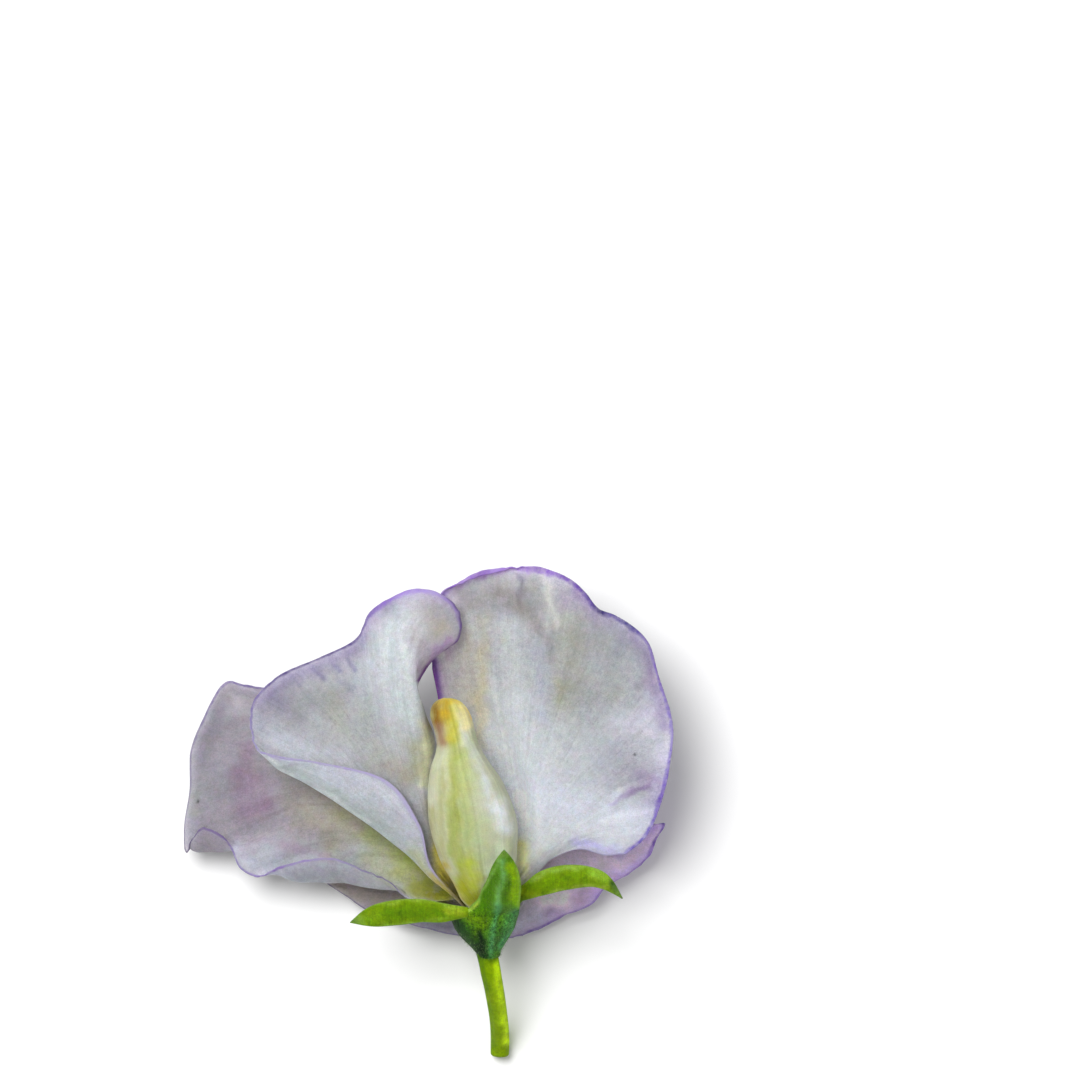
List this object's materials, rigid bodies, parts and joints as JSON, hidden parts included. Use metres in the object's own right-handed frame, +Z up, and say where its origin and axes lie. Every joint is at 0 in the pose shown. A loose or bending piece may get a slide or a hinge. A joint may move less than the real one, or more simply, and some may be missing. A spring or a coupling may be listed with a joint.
{
  "type": "sweet pea flower",
  "caption": "Cut sweet pea bloom lying on its back: broad waved back petal, wing petals, boat-shaped keel, green toothed calyx and a short stalk.",
  "frame": {"origin": "on the surface that the bloom lies on, under the middle of its bounding box", "axes": "+Z up from the surface; the stalk points towards -Y and the petals open towards +Y"},
  "size_m": [0.0492, 0.0494, 0.0176],
  "materials": {
    "stalk": "smooth lime green skin, darker on one side",
    "calyx": "finely hairy dark green outside, lime green inside the teeth",
    "standard": "soft mauve petal with a thin purple edge, yellow-green at the base",
    "wing_left": "soft lavender-white petal with a thin purple edge",
    "wing_right": "soft lavender-white petal with a thin purple edge",
    "keel": "soft cream-green petals, yellow towards the tip",
    "stamens": "pale filaments with yellow anthers",
    "pistil": "soft green young pod"
  },
  "bodies": {
    "root": {"stalk": "stalk", "calyx": "calyx", "standard": "standard", "wing_left": "wing_left", "wing_right": "wing_right", "keel": "keel", "stamens": "stamens", "pistil": "pistil"}
  },
  "joints": []
}
